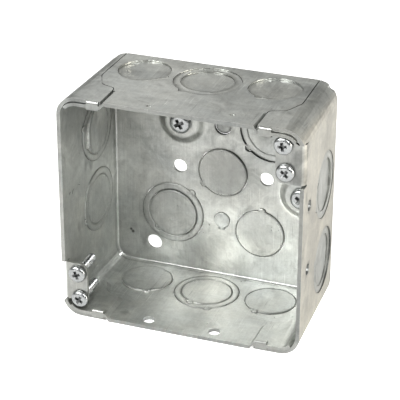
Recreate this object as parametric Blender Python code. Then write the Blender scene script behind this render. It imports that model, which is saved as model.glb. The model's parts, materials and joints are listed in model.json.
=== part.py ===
"""Pressed steel square junction box: one folded and welded box, its knockouts and its screws.

The box stands on its bottom wall with the open front facing -Y. The origin is on the floor,
under the middle of the box. Inside this file a place is given as x (right), depth (back from
the front rim) and z (up), all in metres.
"""
import math

import bmesh
import bpy
from mathutils import Matrix, Vector

MM = 0.001

# Box
FRONT_WIDTH = 103.2 * MM
BACK_WIDTH = 99.2 * MM
HEIGHT = 99.0 * MM
DEPTH = 54.0 * MM
SHEET = 1.6 * MM
CORNER_RADIUS = 8.4 * MM
FOLD_RADIUS = 2.4 * MM
CORNER_STEPS = 8
FOLD_STEPS = 4

# Fits
GAP = 0.3 * MM
OVERLAP = 0.2 * MM
CLEAR = 1.0 * MM
HAIR = 0.02 * MM
OUTSIDE = 60.0 * MM

# Side walls that wrap over the top and bottom panels as tongues
WRAP_RECESS = 0.9 * MM
TONGUE_EDGE = 32.2 * MM
TONGUE_DEPTH = 15.6 * MM
TONGUE_SEAM = ((38.6 * MM, 17.6 * MM), (42.5 * MM, 26.5 * MM), (41.9 * MM, 55.0 * MM))
TONGUE_RADII = (2.4 * MM, 4.0 * MM, 5.0 * MM)
SEAM_WIDTH = 0.45 * MM
SEAM_DEPTH = 0.8 * MM
VEE_LENGTH = 13.0 * MM
VEE_PROFILE = ((-1.3, -1.0), (0.1, -1.0), (0.1, 1.45), (-0.35, 1.45), (-1.3, 0.0))
LAYER = 1.6 * MM
LAYER_DEPTH = 28.0 * MM
LAYER_SLOT = 0.3 * MM
LAYER_CURL = math.radians(50)
LAYER_START = 28.0 * MM
LAYER_STEPS = 5
LAYER_RADII = (2.4 * MM, 4.0 * MM, 2.0 * MM)
LAYER_FOOT = ((31.0 * MM, 17.2 * MM), (38.0 * MM, 19.4 * MM), (41.2 * MM, LAYER_DEPTH))
LAYER_FACE = ((32.4 * MM, 15.8 * MM), (39.0 * MM, 17.8 * MM), (42.8 * MM, LAYER_DEPTH - 1.4 * MM))

# Hooks that close the tongues over the rim
HOOK_CENTRE = 35.6 * MM
HOOK_WIDTH = 4.8 * MM
HOOK_LIP = 1.1 * MM
HOOK_REACH = 2.6 * MM
HOOK_BEND = 1.2 * MM
HOOK_TOE = 0.8 * MM

# Ears for the cover screws
EAR_FACE = 2.25 * MM
EAR_SHEET = 1.5 * MM
EAR_BEND = 2.8 * MM
EAR_LOW = 4.2 * MM
EAR_HIGH = 23.6 * MM
EAR_BEND_LOW = 6.5 * MM
EAR_CORNER = 3.2 * MM
EAR_ROOT = 48.4 * MM
EAR_NOTCH_DEPTH = 5.15 * MM
EAR_NOTCH_LOW = 0.6 * MM
EAR_NOTCH_HIGH = 0.7 * MM

# Knockouts
HALF_INCH_HOLE = 22.2 * MM
THREE_QUARTER_HOLE = 28.2 * MM
TIE_RADIUS = 1.6 * MM
TIE_REACH = 1.3 * MM
SLUG_OFFSET = 0.25 * MM
PLUG_HOLE = 7.4 * MM
PLUG_SHEET = 1.0 * MM
PLUG_TIE_RADIUS = 1.1 * MM
PLUG_TIE_REACH = 0.9 * MM
ROUND_SEGMENTS = 40
BUMP_SEGMENTS = 6

# Raised bosses of the ground screws
BOSS_RADIUS = 10.9 * MM
BOSS_TOP_RADIUS = 6.4 * MM
BOSS_HEIGHT = 2.4 * MM
BOSS_WALL = 1.2 * MM
BOSS_STEPS = 6
BOSSES = ((-17.2 * MM, 72.0 * MM), (36.4 * MM, 45.6 * MM))

# Screws
COVER_HEAD = 7.6 * MM
COVER_HEAD_HEIGHT = 1.9 * MM
COVER_SHANK = 4.1 * MM
COVER_LENGTH = 15.9 * MM
GROUND_HEAD = 9.4 * MM
GROUND_HEAD_HEIGHT = 2.3 * MM
GROUND_SHANK = 4.7 * MM
GROUND_LENGTH = 4.1 * MM
SCREW_SEGMENTS = 20
HEAD_RIM = 0.3
HEAD_CROWN = 0.30
TIP_IN = 0.5 * MM
TIP_CHAMFER = 0.6 * MM
RECESS_DEPTH = 1.3 * MM
RECESS_TURN = math.radians(35)
RECESS_FOOT = (0.16, 0.055)
RECESS_MOUTH = (0.34, 0.085)

# Plain round holes: (x, z) in the back, (x, depth) in the bottom, (depth, z) in the right wall
BACK_HOLES = (
    (-18.6 * MM, 50.4 * MM, 6.2 * MM),
    (20.2 * MM, 50.4 * MM, 6.2 * MM),
    (-30.7 * MM, 11.5 * MM, 7.0 * MM),
)
BOTTOM_HOLES = ((-14.6 * MM, 5.0 * MM, 5.2 * MM), (14.0 * MM, 5.4 * MM, 5.2 * MM))
RIGHT_HOLES = ((10.4 * MM, 63.7 * MM, 4.8 * MM), (10.4 * MM, 35.3 * MM, 4.8 * MM))
TOP_MARKS = ((-12.9 * MM, 3.6 * MM, 2.4 * MM), (20.4 * MM, 6.7 * MM, 2.4 * MM))
MARK_DEPTH = 0.5 * MM
RELIEF_HOLE = 3.4 * MM
RELIEF_INSET = 2.4 * MM
RELIEF_DEPTH = 4.5 * MM
HOLE_SEGMENTS = 16

# Knockouts of each wall: name, place in the wall, tie angle of the slug, tie angle of its ring
BACK_KNOCKOUTS = (
    ("back_centre", 0.8 * MM, 50.5 * MM, 217, None),
    ("back_lower_left", -21.8 * MM, 27.7 * MM, 231, 51),
    ("back_lower_right", 17.8 * MM, 24.4 * MM, 86, None),
    ("back_upper_right", 22.2 * MM, 72.8 * MM, 42, 222),
)
TOP_KNOCKOUTS = (
    ("top_left", -28.0 * MM, 37.0 * MM, 20, None),
    ("top_middle", 0.0, 35.0 * MM, 60, 118),
    ("top_right", 28.0 * MM, 37.0 * MM, 110, None),
)
BOTTOM_KNOCKOUTS = (
    ("bottom_left", -28.0 * MM, 37.0 * MM, 290, None),
    ("bottom_middle", 0.0, 35.0 * MM, 250, 290),
    ("bottom_right", 28.0 * MM, 37.0 * MM, 250, None),
)
LEFT_KNOCKOUTS = (
    ("left_upper", 34.4 * MM, 71.0 * MM, 200, 160),
    ("left_lower", 34.2 * MM, 38.2 * MM, 160, 200),
)
RIGHT_KNOCKOUTS = (
    ("right_upper", 35.5 * MM, 61.1 * MM, 20, 340),
    ("right_lower", 36.0 * MM, 26.4 * MM, 340, 20),
)
PLUG_X = 0.6 * MM
PLUGS = (("upper_plug", 71.6 * MM, 90, 0.0), ("lower_plug", 28.0 * MM, 270, 1.1 * MM))


def clear_scene():
    for thing in list(bpy.data.objects):
        bpy.data.objects.remove(thing)


def galvanised_steel(name, shade):
    """Zinc-coated sheet, a little darker or lighter from piece to piece."""
    material = bpy.data.materials.new(name)
    material.use_nodes = True
    shader = material.node_tree.nodes["Principled BSDF"]
    shader.inputs["Base Color"].default_value = (shade, shade, shade * 0.96, 1.0)
    shader.inputs["Roughness"].default_value = 0.42
    shader.inputs["Metallic"].default_value = 0.9
    return material


def bright_zinc(name):
    """Bright zinc plate of the screws."""
    material = bpy.data.materials.new(name)
    material.use_nodes = True
    shader = material.node_tree.nodes["Principled BSDF"]
    shader.inputs["Base Color"].default_value = (0.78, 0.79, 0.80, 1.0)
    shader.inputs["Roughness"].default_value = 0.22
    shader.inputs["Metallic"].default_value = 1.0
    return material


def add_object(name, mesh, material=None):
    thing = bpy.data.objects.new(name, mesh)
    bpy.context.scene.collection.objects.link(thing)
    if material:
        mesh.materials.append(material)
    return thing


def finish_mesh(name, shape):
    """Close a bmesh into a mesh whose faces all point out."""
    bmesh.ops.recalc_face_normals(shape, faces=shape.faces)
    mesh = bpy.data.meshes.new(name)
    shape.to_mesh(mesh)
    shape.free()
    return mesh


def loft(name, sections):
    """A closed solid through sections that all have the same number of points."""
    shape = bmesh.new()
    rings = [[shape.verts.new(point) for point in section] for section in sections]
    count = len(rings[0])
    for first, second in zip(rings, rings[1:]):
        for index in range(count):
            following = (index + 1) % count
            shape.faces.new((first[index], first[following], second[following], second[index]))
    shape.faces.new(rings[0])
    shape.faces.new(rings[-1])
    return finish_mesh(name, shape)


def boolean(target, tools, operation):
    """Apply a Boolean between the target and one or more solids, and remove those solids."""
    for tool in tools:
        modifier = target.modifiers.new(operation.lower(), "BOOLEAN")
        modifier.operation = operation
        modifier.solver = "EXACT"
        modifier.object = tool
    bpy.context.view_layer.update()
    graph = bpy.context.evaluated_depsgraph_get()
    result = bpy.data.meshes.new_from_object(target.evaluated_get(graph))
    target.modifiers.clear()
    target.data = result
    for tool in tools:
        bpy.data.objects.remove(tool)


def half_width(depth):
    """Half the outer width; the side walls lean out towards the front."""
    return FRONT_WIDTH / 2 - (FRONT_WIDTH - BACK_WIDTH) / 2 * depth / DEPTH


def world(x, depth, z):
    return Vector((x, depth - DEPTH / 2, z))


def arc(centre_x, centre_z, radius, start, stop, steps):
    angles = [start + (stop - start) * step / steps for step in range(steps + 1)]
    return [(centre_x + radius * math.cos(a), centre_z + radius * math.sin(a)) for a in angles]


def box_section(depth, inset):
    """Rounded outline of the box at one depth, moved in by an inset."""
    side = half_width(depth) - CORNER_RADIUS
    radius = CORNER_RADIUS - inset
    low = CORNER_RADIUS
    high = HEIGHT - CORNER_RADIUS
    quarter = math.pi / 2
    points = []
    for turn, (x, z) in enumerate(((side, high), (-side, high), (-side, low), (side, low))):
        points += arc(x, z, radius, turn * quarter, (turn + 1) * quarter, CORNER_STEPS)
    return [world(x, depth, z) for x, z in points]


def box_sections(inset, fold, first_depth):
    """Sections from the front to the flat back, round the folds at the back edges."""
    last = DEPTH - FOLD_RADIUS
    sections = [box_section(first_depth, inset), box_section(last, inset)]
    for step in range(1, FOLD_STEPS + 1):
        angle = math.pi / 2 * step / FOLD_STEPS
        depth = last + fold * math.sin(angle)
        sections.append(box_section(depth, inset + fold * (1 - math.cos(angle))))
    return sections


def filleted(points, radii, steps=4):
    """An open path whose inner corners are rounded by arcs of the given radii."""
    path = [Vector(points[0])]
    for before, corner, after, radius in zip(points, points[1:], points[2:], radii):
        corner = Vector(corner)
        arm_in = (Vector(before) - corner).normalized()
        arm_out = (Vector(after) - corner).normalized()
        half = arm_in.angle(arm_out) / 2
        centre = corner + (arm_in + arm_out).normalized() * radius / math.sin(half)
        reach = radius / math.tan(half)
        start = corner + arm_in * reach - centre
        turn = start.angle_signed(corner + arm_out * reach - centre)
        for step in range(steps + 1):
            path.append(centre + Matrix.Rotation(-turn * step / steps, 2) @ start)
    path.append(Vector(points[-1]))
    return path


def offset_path(path, distance):
    """The same path moved sideways."""
    moved = []
    for index, point in enumerate(path):
        ahead = path[min(index + 1, len(path) - 1)]
        behind = path[max(index - 1, 0)]
        along = (ahead - behind).normalized()
        moved.append(point + Vector((along.y, -along.x)) * distance)
    return moved


def tongue_path():
    """Edge of a tongue as (x, depth): in from the rim, across, then back along the seam."""
    points = ((TONGUE_EDGE, -CLEAR), (TONGUE_EDGE, TONGUE_DEPTH)) + TONGUE_SEAM
    return filleted(points, TONGUE_RADII)


def corner_place(side, top, x, depth, rise):
    """A point near one corner: side is -1 or 1, and rise is measured in from the outer face."""
    return world(side * x, depth, HEIGHT - rise if top else rise)


CORNERS = ((-1, False), (-1, True), (1, False), (1, True))


def seam_cutters():
    """Narrow grooves along the edges of the four tongues, wider where the panel dips under."""
    tools = []
    edges = [offset_path(tongue_path(), distance) for distance in (-SEAM_WIDTH / 2, SEAM_WIDTH / 2)]
    outline = edges[0] + edges[1][::-1]
    for side, top in CORNERS:
        levels = (-CLEAR, SEAM_DEPTH)
        sections = [[corner_place(side, top, p.x, p.y, rise) for p in outline] for rise in levels]
        tools.append(add_object("seam", loft("seam", sections)))
        sections = []
        for depth in (-CLEAR, VEE_LENGTH):
            sections.append([corner_place(side, top, TONGUE_EDGE + x * MM, depth, rise * MM)
                             for x, rise in VEE_PROFILE])
        tools.append(add_object("vee", loft("vee", sections)))
    return tools


def layer_section(depth, low, high):
    """Cross-section of the panel where it runs under a tongue and curls up the corner."""
    centre_x = half_width(depth) - CORNER_RADIUS
    section = []
    for rise, order in ((low, 1), (high, -1)):
        radius = CORNER_RADIUS - rise
        line = [(LAYER_START, rise)]
        start = -math.pi / 2
        line += arc(centre_x, CORNER_RADIUS, radius, start, start + LAYER_CURL, LAYER_STEPS)
        section += line[::order]
    return section


def layer_limits():
    """Plan outline of that layer at its foot and at its face, as a ramp."""
    outlines = []
    for corners in (LAYER_FOOT, LAYER_FACE):
        points = ((corners[0][0], -CLEAR),) + corners + ((OUTSIDE, corners[-1][1]),)
        outline = filleted(points, LAYER_RADII)
        outline.append(Vector((OUTSIDE, -CLEAR)))
        outlines.append(outline)
    return outlines


def panel_layers():
    """The four double-thickness areas inside the front corners."""
    layers = []
    foot, face = layer_limits()
    for side, top in CORNERS:
        sections = []
        for depth in (0.0, LAYER_DEPTH + CLEAR):
            section = layer_section(depth, SHEET - OVERLAP, SHEET + LAYER)
            sections.append([corner_place(side, top, x, depth, rise) for x, rise in section])
        layer = add_object("layer", loft("layer", sections))
        levels = ((foot, -CLEAR), (foot, SHEET), (face, SHEET + LAYER), (face, 2 * CORNER_RADIUS))
        limits = [[corner_place(side, top, p.x, p.y, rise) for p in outline] for outline, rise in levels]
        boolean(layer, [add_object("limit", loft("limit", limits))], "INTERSECT")
        layers.append(layer)
    return layers


def wrap_outline(side, inset, start_x, depth):
    """Path down one side of the box from the top tongue to the bottom tongue."""
    radius = CORNER_RADIUS - inset
    centre = half_width(depth) - CORNER_RADIUS
    high = HEIGHT - CORNER_RADIUS
    path = [(start_x, HEIGHT - inset)]
    path += arc(centre, high, radius, math.pi / 2, 0, CORNER_STEPS)
    path += arc(centre, CORNER_RADIUS, radius, 0, -math.pi / 2, CORNER_STEPS)
    path.append((start_x, inset))
    return [(side * x, z) for x, z in path]


def wrap_cutters():
    """Step that sets the rim of the side walls and tongues back from the panels' rims."""
    tools = []
    for side in (-1, 1):
        outside = wrap_outline(side, -CLEAR, TONGUE_EDGE, 0.0)
        inside = wrap_outline(side, SHEET + 0.15 * MM, TONGUE_EDGE, 0.0)
        outline = outside + inside[::-1]
        sections = [[world(x, depth, z) for x, z in outline] for depth in (-CLEAR, WRAP_RECESS)]
        tools.append(add_object("recess", loft("recess", sections)))
    return tools


def slot_cutters():
    """Thin gap at the rim between a tongue and the panel under it."""
    tools = []
    start = HOOK_CENTRE + HOOK_WIDTH / 2 + LAYER_SLOT
    for side, top in CORNERS:
        section = layer_section(0.0, SHEET - 0.05 * MM, SHEET + LAYER_SLOT)
        section = [(max(x, start), rise) for x, rise in section]
        sections = []
        for depth in (-CLEAR, 3.0 * MM):
            sections.append([corner_place(side, top, x, depth, rise) for x, rise in section])
        tools.append(add_object("slot", loft("slot", sections)))
    return tools


def hook_profile():
    """Side view of a hook as (depth, rise): over the rim and down on the panel."""
    total = SHEET + LAYER + HOOK_LIP
    outer = arc(HOOK_BEND, HOOK_BEND, HOOK_BEND, math.pi * 1.5, math.pi, 4)
    inner = arc(HOOK_TOE, total - HOOK_TOE, HOOK_TOE, math.pi, math.pi / 2, 3)
    return [(HOOK_REACH, 0.05 * MM)] + outer + inner + [(HOOK_REACH, total)]


def hooks():
    """Tabs folded over the rim, one to each tongue."""
    tabs = []
    low = HOOK_CENTRE - HOOK_WIDTH / 2
    high = HOOK_CENTRE + HOOK_WIDTH / 2
    for side, top in CORNERS:
        sections = []
        for x in (low, high):
            sections.append([corner_place(side, top, x, depth, rise) for depth, rise in hook_profile()])
        tabs.append(add_object("hook", loft("hook", sections)))
    return tabs


# Side, whether at the top, free edge, and the two screws as (x, rise) counted from the same corner
EARS = (
    (-1, False, 40.9 * MM, ((44.1 * MM, 7.6 * MM), (45.0 * MM, 19.2 * MM))),
    (1, True, 39.4 * MM, ((42.6 * MM, 7.2 * MM), (43.7 * MM, 18.5 * MM))),
)


def ear_notches():
    """Clearance cut in the side walls where the ears fold in."""
    tools = []
    low, high = -CLEAR, EAR_NOTCH_DEPTH
    corners = ((EAR_ROOT, low), (OUTSIDE, low), (OUTSIDE, high), (EAR_ROOT, high))
    for side, top, _, _ in EARS:
        sections = []
        for rise in (EAR_BEND_LOW - EAR_NOTCH_LOW, EAR_HIGH + EAR_NOTCH_HIGH):
            sections.append([corner_place(side, top, x, depth, rise) for x, depth in corners])
        tools.append(add_object("notch", loft("notch", sections)))
    return tools


def ear_bend_outline():
    """Plan of the fold from the side wall into the ear, as (x, depth)."""
    edge = half_width(EAR_FACE + EAR_BEND) - 0.05 * MM
    centre = edge - EAR_BEND
    axis_depth = EAR_FACE + EAR_BEND
    inner = EAR_BEND - EAR_SHEET
    outline = [(edge - 0.1 * MM, axis_depth + 2 * MM)]
    outline += arc(centre, axis_depth, EAR_BEND, 0, -math.pi / 2, 6)
    outline += [(46.0 * MM, EAR_FACE), (46.0 * MM, EAR_FACE + EAR_SHEET)]
    outline += arc(centre, axis_depth, inner, -math.pi / 2, 0, 6)
    outline.append((edge - EAR_SHEET - 0.05 * MM, axis_depth + 2 * MM))
    return outline


def ear_plate_outline(edge):
    """Front view of the flat of an ear, as (x, rise), rounded at its free edge."""
    corner = EAR_CORNER
    points = arc(edge + corner, EAR_HIGH - corner, corner, math.pi / 2, math.pi, 4)
    points += arc(edge + corner, EAR_LOW + corner, corner, math.pi, math.pi * 1.5, 4)
    points += [(EAR_ROOT - 3.4 * MM, EAR_LOW), (EAR_ROOT, EAR_BEND_LOW), (EAR_ROOT, EAR_HIGH)]
    return points


def ears():
    """Ears folded in from the side walls at two opposite corners."""
    parts = []
    for side, top, edge, _ in EARS:
        sections = []
        for rise in (EAR_BEND_LOW, EAR_HIGH):
            sections.append([corner_place(side, top, x, d, rise) for x, d in ear_bend_outline()])
        bend = add_object("ear_bend", loft("ear_bend", sections))
        sections = []
        for depth in (EAR_FACE + HAIR, EAR_FACE + EAR_SHEET - HAIR):
            sections.append([corner_place(side, top, x, depth, rise) for x, rise in ear_plate_outline(edge)])
        plate = add_object("ear_plate", loft("ear_plate", sections))
        boolean(bend, [plate], "UNION")
        parts.append(bend)
    return parts


def prism(name, outline, frame, low, high, grow=0.0):
    """Extrude an outline of (u, v) points along the frame's third axis."""
    sections = []
    for level, scale in ((low, 1.0), (high, 1.0 + grow)):
        sections.append([frame @ Vector((u * scale, v * scale, level)) for u, v in outline])
    return loft(name, sections)


def circle(radius, segments):
    """Outline of a round hole or disc."""
    turn = 2 * math.pi / segments
    return [(radius * math.cos(i * turn), radius * math.sin(i * turn)) for i in range(segments)]


def wall_frame(wall, first, second):
    """Frame on a wall's outer face: its third axis points into the box."""
    lean = (FRONT_WIDTH - BACK_WIDTH) / 2 / DEPTH
    if wall == "back":
        origin = world(first, DEPTH, second)
        axes = (Vector((1, 0, 0)), Vector((0, 0, 1)), Vector((0, -1, 0)))
    elif wall == "top":
        origin = world(first, second, HEIGHT)
        axes = (Vector((1, 0, 0)), Vector((0, -1, 0)), Vector((0, 0, -1)))
    elif wall == "bottom":
        origin = world(first, second, 0.0)
        axes = (Vector((1, 0, 0)), Vector((0, 1, 0)), Vector((0, 0, 1)))
    elif wall == "left":
        origin = world(-half_width(first), first, second)
        along = Vector((lean, 1, 0)).normalized()
        axes = (along, Vector((0, 0, 1)), along.cross(Vector((0, 0, 1))))
    else:
        origin = world(half_width(first), first, second)
        along = Vector((lean, -1, 0)).normalized()
        axes = (along, Vector((0, 0, 1)), along.cross(Vector((0, 0, 1))))
    frame = Matrix((axes[0], axes[1], axes[2])).transposed().to_4x4()
    frame.translation = origin
    return frame


def tied_outline(radius, tie_angle, tie_radius, tie_reach, grow=0.0):
    """A round outline with a round bump at its tie; grow moves all of it outwards."""
    main = radius + grow
    bump = tie_radius + grow
    centre = radius + tie_reach - tie_radius
    cut_x = (main * main - bump * bump + centre * centre) / (2 * centre)
    cut_z = math.sqrt(main * main - cut_x * cut_x)
    main_start = math.atan2(cut_z, cut_x)
    bump_start = math.atan2(cut_z, cut_x - centre)
    points = arc(0, 0, main, main_start, 2 * math.pi - main_start, ROUND_SEGMENTS - 2)
    points += arc(centre, 0, bump, -bump_start, bump_start, BUMP_SEGMENTS)[1:-1]
    cosine = math.cos(math.radians(tie_angle))
    sine = math.sin(math.radians(tie_angle))
    return [(u * cosine - v * sine, u * sine + v * cosine) for u, v in points]


def slug_outline(hole, tie_angle, grow=0.0):
    return tied_outline(hole / 2 - GAP, tie_angle, TIE_RADIUS, TIE_REACH, grow)


def plug_outline(tie_angle, grow=0.0):
    return tied_outline(PLUG_HOLE / 2 - GAP, tie_angle, PLUG_TIE_RADIUS, PLUG_TIE_REACH, grow)


def tie_frame(frame, radius, reach, tie_angle, level):
    """Frame on a tie's bending line: x runs to the middle of the disc, z into the box."""
    angle = math.radians(tie_angle)
    distance = radius + reach
    place = Matrix.Translation((distance * math.cos(angle), distance * math.sin(angle), level))
    return frame @ place @ Matrix.Rotation(angle + math.pi, 4, "Z")


def hinged_piece(name, mesh, hinge, material):
    """Put a mesh made in world space on an object whose origin and axes are its hinge."""
    mesh.transform(hinge.inverted())
    piece = add_object(name, mesh, material)
    piece.matrix_world = hinge
    return piece


def knockout(name, wall, first, second, slug_tie, ring_tie):
    """A half-inch slug, with a three-quarter ring round it where there is one."""
    frame = wall_frame(wall, first, second)
    low = SLUG_OFFSET
    high = SLUG_OFFSET + SHEET
    mesh = prism(name, slug_outline(HALF_INCH_HOLE, slug_tie), frame, low, high)
    hinge = tie_frame(frame, HALF_INCH_HOLE / 2 - GAP, TIE_REACH, slug_tie, high)
    hinged_piece(name + "_slug", mesh, hinge, galvanised_steel(name + "_slug_zinc", 0.60))
    if ring_tie is None:
        return
    outer = prism(name, slug_outline(THREE_QUARTER_HOLE, ring_tie), frame, low, high)
    inner = prism(name, slug_outline(HALF_INCH_HOLE, slug_tie, GAP), frame, low - CLEAR, high + CLEAR)
    ring = add_object(name + "_ring_blank", outer)
    boolean(ring, [add_object("bore", inner)], "DIFFERENCE")
    mesh = ring.data
    bpy.data.objects.remove(ring)
    hinge = tie_frame(frame, THREE_QUARTER_HOLE / 2 - GAP, TIE_REACH, ring_tie, high)
    hinged_piece(name + "_ring", mesh, hinge, galvanised_steel(name + "_ring_zinc", 0.57))


def knockout_cutter(wall, first, second, slug_tie, ring_tie):
    frame = wall_frame(wall, first, second)
    if ring_tie is None:
        outline = slug_outline(HALF_INCH_HOLE, slug_tie, GAP)
    else:
        outline = slug_outline(THREE_QUARTER_HOLE, ring_tie, GAP)
    return add_object("cutter", prism("cutter", outline, frame, -2 * CLEAR, SHEET + 2 * CLEAR))


WALLS = (("back", BACK_KNOCKOUTS), ("top", TOP_KNOCKOUTS), ("bottom", BOTTOM_KNOCKOUTS),
         ("left", LEFT_KNOCKOUTS), ("right", RIGHT_KNOCKOUTS))


def plug(name, z, tie, level):
    """A small punched plug in the back, set in or out of the sheet."""
    frame = wall_frame("back", PLUG_X, z)
    mesh = prism(name, plug_outline(tie), frame, level, level + PLUG_SHEET)
    hinge = tie_frame(frame, PLUG_HOLE / 2 - GAP, PLUG_TIE_REACH, tie, level + PLUG_SHEET)
    hinged_piece(name, mesh, hinge, galvanised_steel(name + "_zinc", 0.52))


def cutter(outline, frame, depth=SHEET + CLEAR, low=-CLEAR):
    """A solid that cuts a hole of that outline to a depth from a wall's outer face."""
    return add_object("cutter", prism("cutter", outline, frame, low, depth))


def hole_cutters():
    """Everything that goes through the walls of the box."""
    tools = []
    for wall, knockouts in WALLS:
        tools += [knockout_cutter(wall, *row[1:]) for row in knockouts]
    for _, z, tie, _ in PLUGS:
        tools.append(cutter(plug_outline(tie, GAP), wall_frame("back", PLUG_X, z)))
    for wall, holes in (("back", BACK_HOLES), ("bottom", BOTTOM_HOLES), ("right", RIGHT_HOLES)):
        for first, second, diameter in holes:
            tools.append(cutter(circle(diameter / 2, HOLE_SEGMENTS), wall_frame(wall, first, second)))
    for first, second, diameter in TOP_MARKS:
        frame = wall_frame("top", first, second)
        tools.append(cutter(circle(diameter / 2, HOLE_SEGMENTS), frame, MARK_DEPTH))
    for side, top in CORNERS:
        corner = corner_place(side, top, BACK_WIDTH / 2 - RELIEF_INSET, DEPTH, RELIEF_INSET)
        frame = wall_frame("back", corner.x, corner.z)
        tools.append(cutter(circle(RELIEF_HOLE / 2, HOLE_SEGMENTS), frame, RELIEF_DEPTH))
    for x, z in cover_screw_places():
        frame = Matrix.Translation(world(x, EAR_FACE, z)) @ Matrix.Rotation(math.pi / 2, 4, "X")
        outline = circle(COVER_SHANK / 2 + GAP, HOLE_SEGMENTS)
        tools.append(cutter(outline, frame, CLEAR, -EAR_SHEET - CLEAR))
    return tools


def boss_solid(x, z):
    """Round boss on the inner face of the back, with soft shoulders and a flat top."""
    frame = wall_frame("back", x, z)
    sections = [[frame @ Vector((u, v, SHEET - HAIR)) for u, v in circle(BOSS_RADIUS, ROUND_SEGMENTS)]]
    for step in range(1, BOSS_STEPS + 1):
        share = step / BOSS_STEPS
        radius = BOSS_RADIUS + (BOSS_TOP_RADIUS - BOSS_RADIUS) * share
        level = SHEET + BOSS_HEIGHT * (1 - math.cos(math.pi * share)) / 2
        sections.append([frame @ Vector((u, v, level)) for u, v in circle(radius, ROUND_SEGMENTS)])
    return add_object("boss", loft("boss", sections))


def boss_cutters(x, z):
    """Hollow behind the boss, and the hole for its screw."""
    frame = wall_frame("back", x, z)
    radius = BOSS_RADIUS - BOSS_WALL
    shrink = (BOSS_TOP_RADIUS - BOSS_WALL) / radius - 1
    hollow = prism("hollow", circle(radius, ROUND_SEGMENTS), frame, -HAIR, BOSS_HEIGHT, shrink)
    hole = cutter(circle(GROUND_SHANK / 2 + GAP, HOLE_SEGMENTS), frame, 3 * BOSS_HEIGHT, 0.0)
    return [add_object("hollow", hollow), hole]


def box_body():
    """The folded box: walls, tongues, hooks, ears and bosses in one piece of sheet."""
    outside = box_sections(0.0, FOLD_RADIUS, 0.0)
    inside = box_sections(SHEET, FOLD_RADIUS - SHEET, -CLEAR)
    body = add_object("box_body", loft("box_body", outside))
    boolean(body, [add_object("inside", loft("inside", inside))], "DIFFERENCE")
    boolean(body, panel_layers(), "UNION")
    boolean(body, wrap_cutters() + slot_cutters() + seam_cutters() + ear_notches(), "DIFFERENCE")
    boolean(body, hooks() + ears() + [boss_solid(*place) for place in BOSSES], "UNION")
    tools = hole_cutters()
    for place in BOSSES:
        tools += boss_cutters(*place)
    boolean(body, tools, "DIFFERENCE")
    body.data.materials.clear()
    body.data.materials.append(galvanised_steel("box_body_zinc", 0.62))


def cover_screw_places():
    """Centres of the cover screws: two in each ear."""
    places = []
    for side, top, _, screws in EARS:
        for x, rise in screws:
            places.append((side * x, HEIGHT - rise if top else rise))
    return places


def turned(name, profile, segments):
    """Turn a profile of (radius, height) points, from the tip up, about the z axis."""
    shape = bmesh.new()
    rings = []
    for radius, height in profile:
        ring = circle(radius, segments)
        rings.append([shape.verts.new((x, y, height)) for x, y in ring])
    for first, second in zip(rings, rings[1:]):
        for index in range(segments):
            following = (index + 1) % segments
            shape.faces.new((first[index], first[following], second[following], second[index]))
    shape.faces.new(rings[0])
    shape.faces.new(rings[-1])
    return finish_mesh(name, shape)


def cross_recess(head, height):
    """Cutter for the cross in a screw's head: two bars that narrow with depth."""
    bars = []
    for turn in (0, math.pi / 2):
        spin = Matrix.Rotation(turn + RECESS_TURN, 4, "Z")
        sections = []
        for level, (length, width) in ((height - RECESS_DEPTH, RECESS_FOOT), (height + CLEAR, RECESS_MOUTH)):
            corners = ((-length, -width), (length, -width), (length, width), (-length, width))
            sections.append([spin @ Vector((u * head, v * head, level)) for u, v in corners])
        bars.append(add_object("bar", loft("bar", sections)))
    return bars


def screw(name, place, head, head_height, shank, length):
    """A round-headed machine screw; its origin is under the head and z points out of the box."""
    rim = HEAD_RIM * head_height
    profile = [(shank / 2 - TIP_IN, -length), (shank / 2, -length + TIP_CHAMFER)]
    profile += [(shank / 2, 0.0), (head / 2, 0.0)]
    for step in range(4):
        angle = math.pi / 2 * step / 4
        radius = head * (HEAD_CROWN + (0.5 - HEAD_CROWN) * math.cos(angle))
        profile.append((radius, rim + (head_height - rim) * math.sin(angle)))
    profile.append((head * HEAD_CROWN, head_height))
    thing = add_object(name, turned(name, profile, SCREW_SEGMENTS))
    boolean(thing, cross_recess(head, head_height), "DIFFERENCE")
    thing.data.materials.append(bright_zinc(name + "_zinc"))
    thing.rotation_euler = (math.pi / 2, 0, 0)
    thing.location = place
    return thing


def cover_screws():
    names = ("cover_screw_1", "cover_screw_2", "cover_screw_3", "cover_screw_4")
    for name, (x, z) in zip(names, cover_screw_places()):
        place = world(x, EAR_FACE - GAP, z)
        screw(name, place, COVER_HEAD, COVER_HEAD_HEIGHT, COVER_SHANK, COVER_LENGTH)


def ground_screws():
    for name, (x, z) in zip(("ground_screw_1", "ground_screw_2"), BOSSES):
        place = world(x, DEPTH - SHEET - BOSS_HEIGHT - GAP, z)
        screw(name, place, GROUND_HEAD, GROUND_HEAD_HEIGHT, GROUND_SHANK, GROUND_LENGTH)


def knockouts():
    for wall, rows in WALLS:
        for row in rows:
            knockout(row[0], wall, *row[1:])
    for row in PLUGS:
        plug(*row)


def shade():
    """Smooth the round faces and keep the sheet's edges sharp."""
    for thing in bpy.data.objects:
        thing.data.shade_smooth()
        thing.data.set_sharp_from_angle(angle=math.radians(35))


clear_scene()
box_body()
knockouts()
cover_screws()
ground_screws()
shade()
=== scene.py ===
"""Looks of the pressed-steel junction box: galvanised sheet, bright screws, studio and camera."""
import json
import math
import random

import bmesh
import bpy
import numpy as np
from mathutils import Matrix, Vector


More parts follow.
